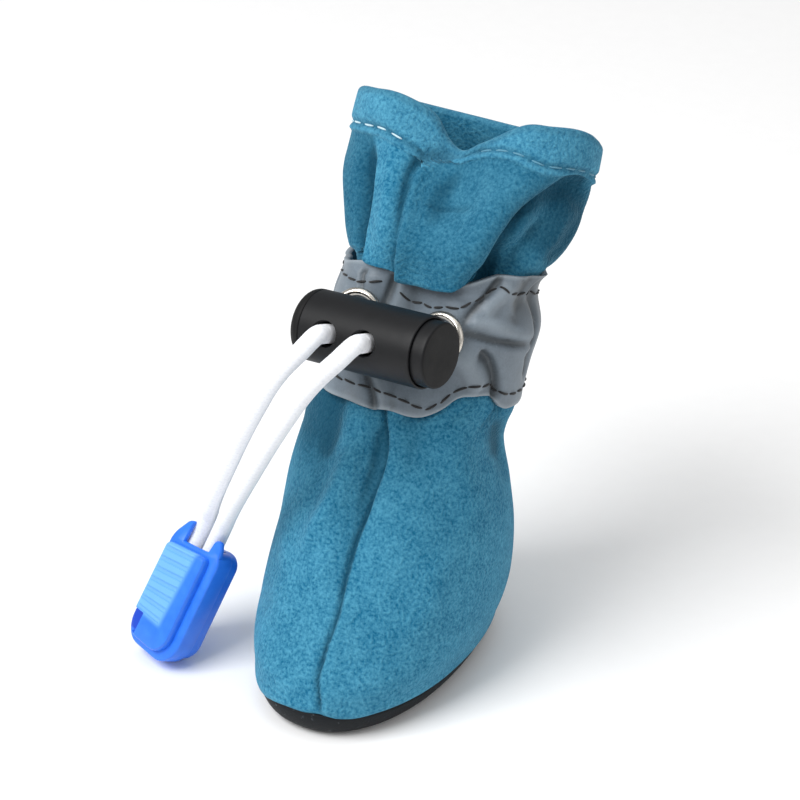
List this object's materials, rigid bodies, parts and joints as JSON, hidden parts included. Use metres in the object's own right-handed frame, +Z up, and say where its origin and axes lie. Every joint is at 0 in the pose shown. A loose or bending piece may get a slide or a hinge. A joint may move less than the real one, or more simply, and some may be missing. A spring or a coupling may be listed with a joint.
{
  "type": "dog boot",
  "caption": "Small soft dog boot on a thin rubber sole, with a gathered reflective ankle band, an elastic drawcord, a sprung cord lock and a cord-end clip.",
  "frame": {"origin": "middle of the sole's flat underside", "axes": "+Z up along the boot, -Y towards the toe, +X to the right when the toe points at the viewer's feet"},
  "size_m": [0.0589, 0.0713, 0.0949],
  "materials": {
    "sole_rubber": "matt black rubber with a fine texture",
    "lining_fleece": "teal fleece",
    "teal_pile": "short brushed teal pile",
    "reflective_grey": "grey reflective tape with black stitching",
    "nickel": "bright nickel",
    "black_plastic": "satin black",
    "white_elastic": "white braided elastic",
    "blue_plastic": "semi-gloss blue"
  },
  "bodies": {
    "boot": {"outsole": "sole_rubber", "insole": "lining_fleece", "upper": "teal_pile", "reflective_band": "reflective_grey", "eyelet_left": "nickel", "eyelet_right": "nickel", "drawcord": "white_elastic", "lock_barrel": "black_plastic", "cord_strand_left": "white_elastic", "cord_strand_right": "white_elastic", "cord_clip": "blue_plastic"},
    "button": {"lock_button": "black_plastic"}
  },
  "joints": [
    {"name": "lock_button_push", "type": "slide", "parent": "boot", "child": "button", "axis": [-0.99, 0.0988, -0.1011], "range_m": [0, 0.002], "stiffness_N_per_m": 300, "springref_m": -0.002}
  ]
}
